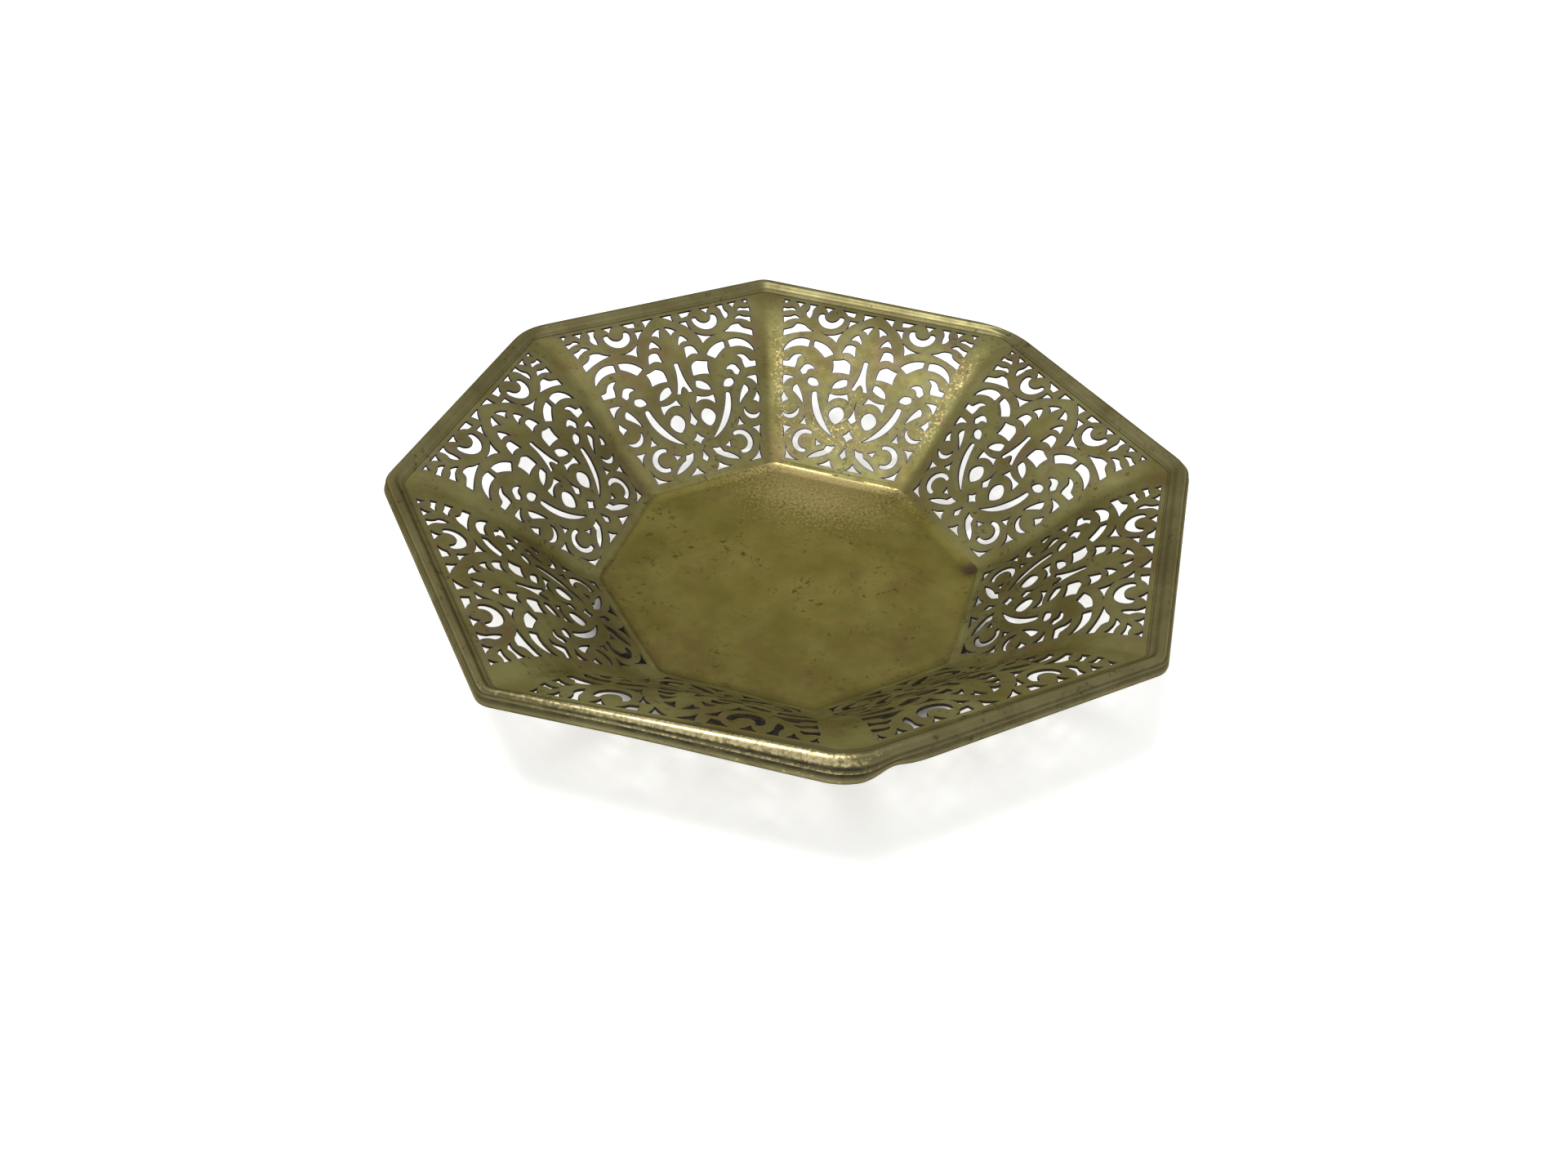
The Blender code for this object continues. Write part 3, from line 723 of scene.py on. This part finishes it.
def brass(name, colours, roughness, worn, marks=()):
    """Return aged brass: two tones of patina, stains, specks, grime, and gold where it is rubbed.

    The attributes "grime" and "wear" say where grime lies and where the patina has gone; on the base and
    rim "grime" also holds painted shade, and on the base "wear" also a painted reflection. Worn is how much
    of it has gone everywhere.
    """
    dark, light, stain, dirt, gold = colours
    material = bpy.data.materials.new(name)
    material.use_nodes = True
    tree = material.node_tree
    shader = tree.nodes["Principled BSDF"]
    shader.inputs["Metallic"].default_value = 1
    shader.inputs["Specular Tint"].default_value = SLANT_TINT
    where = add_node(tree, "ShaderNodeTexCoord").outputs["Object"]
    grime = add_node(tree, "ShaderNodeAttribute", attribute_name="grime").outputs["Fac"]
    wear = add_node(tree, "ShaderNodeAttribute", attribute_name="wear").outputs["Fac"]

    # Two tones of patina, brown stains, and clusters of dark specks and pits
    colour = tint(tree, ramp(tree, grain(tree, where, 55, 5), 0.35, 0.65), dark, light)
    stains = ramp(tree, grain(tree, where, 75, 7, 0.62, 0.5), 0.52, 0.72, 0, 0.7)
    colour = tint(tree, stains, colour, stain)
    clusters = ramp(tree, grain(tree, where, 45, 3), 0.44, 0.58)
    specks = ramp(tree, grain(tree, where, 420, 5, 0.68), 0.57, 0.66, 0, 0.8)
    colour = tint(tree, times(tree, specks, clusters), colour, [0.35 * c for c in dark])
    bent = add_node(tree, "ShaderNodeMix", {0: 0.004, 6: where}, data_type="RGBA")
    tree.links.new(add_node(tree, "ShaderNodeTexNoise", {"Vector": where, "Scale": 700.0}).outputs[1],
                   bent.inputs[7])
    pits = add_node(tree, "ShaderNodeTexVoronoi", {"Vector": bent.outputs[2], "Scale": 150.0})
    pits = ramp(tree, pits.outputs["Distance"], 0.07, 0.13, 0.85, 0)
    colour = tint(tree, times(tree, pits, clusters), colour, [0.3 * c for c in dark])

    # Single marks, then grime, which on the base and rim also paints shade
    for (x, y), radius, mark, strength in marks:
        centre = (x * MM, y * MM, SHEET)
        away = add_node(tree, "ShaderNodeVectorMath", {0: bent.outputs[2], 1: centre}, operation="DISTANCE")
        near = ramp(tree, away.outputs["Value"], 0.4 * radius * MM, radius * MM, strength, 0)
        colour = tint(tree, near, colour, mark)
    patches = ramp(tree, grain(tree, where, 300, 4, 0.6), 0.3, 0.6, 0.55, 1)
    colour = tint(tree, times(tree, grime, patches), colour, dirt)

    # Gold where the patina is rubbed off, first on the high grains; on the base it also paints a reflection
    bare = ramp(tree, wear, 0, 1, worn, 1)
    low = add_node(tree, "ShaderNodeMath", {0: 0.72, 1: times(tree, bare, 0.45)}, operation="SUBTRACT")
    above = add_node(tree, "ShaderNodeMath", {0: grain(tree, where, 1000, 5, 0.72), 1: low.outputs[0]},
                     operation="SUBTRACT")
    rubbed = times(tree, ramp(tree, above.outputs[0], -0.02, 0.26), ramp(tree, bare, 0, 0.25))
    colour = tint(tree, rubbed, colour, gold)
    tree.links.new(colour, shader.inputs["Base Color"])

    # Rubbed brass is glossier, and the rest is uneven
    dull = ramp(tree, grain(tree, where, 160, 5, 0.6), 0.3, 0.7, roughness - 0.05, roughness + 0.07)
    gloss = add_node(tree, "ShaderNodeMix", {0: times(tree, rubbed, 0.8), 2: dull, 3: 0.24})
    tree.links.new(gloss.outputs[0], shader.inputs["Roughness"])
    relief = add_node(tree, "ShaderNodeBump",
                      {"Height": grain(tree, where, 420, 6, 0.65), "Strength": 0.3,
                       "Distance": 0.12 * MM})
    tree.links.new(relief.outputs["Normal"], shader.inputs["Normal"])
    return material


def tarnish_and_shade(name, tones):
    """Return the dull near-black cut walls of the piercings, which mix two tones: partly tarnish, partly
    painted shade that keeps the slots dark.
    """
    material = bpy.data.materials.new(name)
    material.use_nodes = True
    tree = material.node_tree
    shader = tree.nodes["Principled BSDF"]
    shader.inputs["Roughness"].default_value = 0.8
    # No reflection at all, so the cut walls stay dark as painted shade of the slots
    shader.inputs["Specular IOR Level"].default_value = 0
    where = add_node(tree, "ShaderNodeTexCoord").outputs["Object"]
    colour = tint(tree, ramp(tree, grain(tree, where, 300), 0.35, 0.65), *tones)
    tree.links.new(colour, shader.inputs["Base Color"])
    return material


def floor_white():
    """Return the floor's matt white: a faint glow keeps its shadows soft, but not under the dish, where a
    dark oval is painted on as a contact shadow.
    """
    material = bpy.data.materials.new("floor_white")
    material.use_nodes = True
    tree = material.node_tree
    shader = tree.nodes["Principled BSDF"]
    shader.inputs["Roughness"].default_value = 0.9
    where = add_node(tree, "ShaderNodeTexCoord").outputs["Object"]
    tone = tint(tree, grain(tree, where, 6), (0.86, 0.87, 0.87), (0.90, 0.90, 0.90))
    under = add_node(tree, "ShaderNodeVectorMath", {0: where, 1: SHADE_PLACE}, operation="SUBTRACT")
    under = add_node(tree, "ShaderNodeVectorMath", {0: under.outputs[0], 1: SHADE_SCALE},
                     operation="MULTIPLY")
    away = add_node(tree, "ShaderNodeVectorMath", {0: under.outputs[0]}, operation="LENGTH")
    floor_outside_painted_shadow = ramp(tree, away.outputs["Value"], 0.90, 1.10)
    # Painted contact shadow: near black inside the oval, the floor's white outside it
    tone = tint(tree, floor_outside_painted_shadow, (0.07, 0.065, 0.06), tone)
    tree.links.new(tone, shader.inputs["Base Color"])
    shader.inputs["Emission Color"].default_value = (1, 1, 1, 1)
    tree.links.new(times(tree, floor_outside_painted_shadow, 0.52), shader.inputs["Emission Strength"])
    return material


# ---------------------------------------------------------------- stage

def add_floor():
    """Add a large pale floor just under the dish."""
    mesh = bpy.data.meshes.new("floor")
    bm = bmesh.new()
    bmesh.ops.create_grid(bm, x_segments=8, y_segments=8, size=3)
    bm.to_mesh(mesh)
    bm.free()
    floor = bpy.data.objects.new("floor", mesh)
    floor.location.z = -0.2 * MM
    bpy.context.scene.collection.objects.link(floor)
    mesh.materials.append(floor_white())


def add_camera():
    """Add the camera."""
    data = bpy.data.cameras.new("camera")
    data.lens = CAMERA_LENS
    data.clip_start = 0.01
    camera = bpy.data.objects.new("camera", data)
    bpy.context.scene.collection.objects.link(camera)
    look = Vector(CAMERA_AIM) - Vector(CAMERA_PLACE)
    turn = look.to_track_quat("-Z", "Y").to_matrix() @ Matrix.Rotation(CAMERA_ROLL, 3, "Z")
    camera.matrix_world = Matrix.Translation(CAMERA_PLACE) @ turn.to_4x4()
    bpy.context.scene.camera = camera


def add_softbox(name, direction, distance, size, power):
    """Add a square soft light that looks at the dish from a direction."""
    data = bpy.data.lights.new(name, "AREA")
    data.size = size
    data.energy = power
    light = bpy.data.objects.new(name, data)
    bpy.context.scene.collection.objects.link(light)
    light.location = Vector(direction).normalized() * distance
    light.rotation_euler = Vector(direction).to_track_quat("Z", "Y").to_euler()


def add_surroundings(colour, strength):
    """Set the even surroundings that the brass reflects."""
    world = bpy.data.worlds.new("room")
    world.use_nodes = True
    bpy.context.scene.world = world
    background = world.node_tree.nodes["Background"]
    background.inputs["Color"].default_value = (*colour, 1)
    background.inputs["Strength"].default_value = strength


# ---------------------------------------------------------------- the scene

SECTION_POINTS = soften(outline(RIM_SECTION), 0.12 * MM)
HOLE_OUTLINES = hole_outlines()

add_camera()
add_floor()
add_surroundings((1.0, 1.0, 1.0), 0.65)
add_softbox("overhead_left", direction=(-0.20, -0.20, 0.93), distance=1.1, size=0.25, power=5.2)
bpy.context.scene.view_settings.view_transform = "Standard"

# Dark and light patina, brown stain, grime (on the base and rim also the colour of painted shade) and bare
# brass
PATINA = ((0.185, 0.156, 0.042), (0.290, 0.276, 0.100), (0.23, 0.138, 0.070), (0.20, 0.172, 0.140),
          (0.74, 0.58, 0.26))
BASE_PATINA = ((0.215, 0.180, 0.042), (0.295, 0.255, 0.072), (0.235, 0.160, 0.055),
               (0.100, 0.072, 0.035), (0.66, 0.53, 0.23))
RIM_PATINA = ((0.172, 0.150, 0.066), (0.240, 0.215, 0.100), (0.15, 0.110, 0.050),
              (0.050, 0.045, 0.028), (0.85, 0.71, 0.38))

# The two tones of the cut walls: tarnish, darkened further as painted shade of the slots
EDGE_TONES = ((0.022, 0.018, 0.010), (0.050, 0.040, 0.022))

brass_sheet = brass("aged_brass", PATINA, 0.57, 0.04)
base_sheet = brass("aged_brass_base", BASE_PATINA, 0.55, 0.03, BASE_MARKS)
cut_edge = tarnish_and_shade("pierced_edge", EDGE_TONES)
rubbed_rim = brass("rubbed_brass", RIM_PATINA, 0.42, 0.12)

add_base(base_sheet)
pattern = banded_sheet()
for side in range(SIDES):
    add_panel(side, pattern, [brass_sheet, cut_edge])
    add_rail(side, rubbed_rim)
